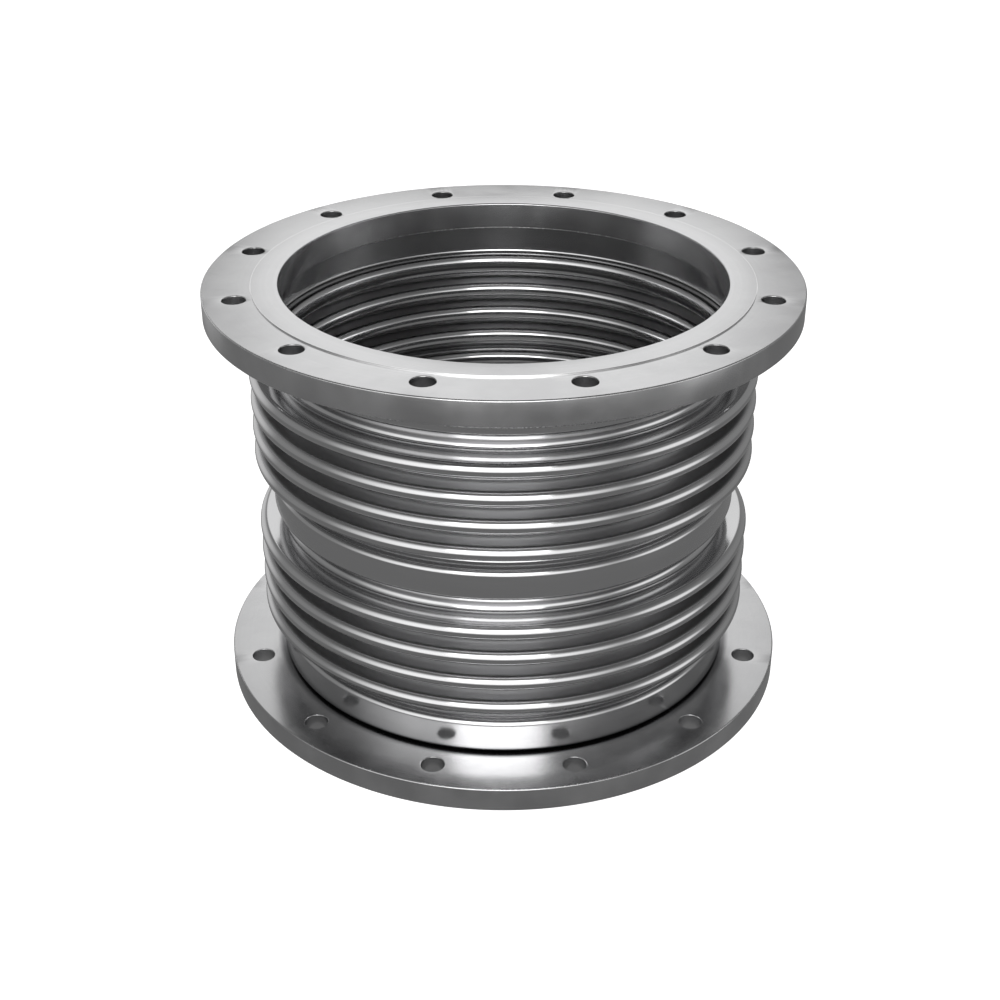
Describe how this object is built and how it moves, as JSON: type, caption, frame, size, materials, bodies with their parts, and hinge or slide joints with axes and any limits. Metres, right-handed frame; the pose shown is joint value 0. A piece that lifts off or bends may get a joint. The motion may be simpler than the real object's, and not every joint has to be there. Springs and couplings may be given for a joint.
{
  "type": "exhaust bellows",
  "caption": "Round metal exhaust expansion joint: bolted plate flanges joined by twin corrugated tubes with wide rolled collars.",
  "frame": {"origin": "centre of the gas path on the plane of the lower raised sealing face", "axes": "+Z along the gas path from the lower flange to the upper one; the bolt holes straddle X and Y"},
  "size_m": [0.4399, 0.44, 0.322],
  "materials": {
    "flange_steel": "turned and ground satin stainless plate",
    "collar_steel": "polished rolled stainless sheet",
    "bellows_steel": "bright formed stainless sheet",
    "weld_steel": "cleaned stainless weld metal"
  },
  "bodies": {
    "root": {"bottom_flange": "flange_steel", "top_flange": "flange_steel", "bottom_flange_bead": "weld_steel", "top_flange_bead": "weld_steel", "lower_end_collar": "collar_steel", "upper_end_collar": "collar_steel", "centre_collar": "collar_steel", "lower_bellows": "bellows_steel", "upper_bellows": "bellows_steel", "lower_end_seam": "weld_steel", "lower_centre_seam": "weld_steel", "upper_centre_seam": "weld_steel", "upper_end_seam": "weld_steel"}
  },
  "joints": []
}
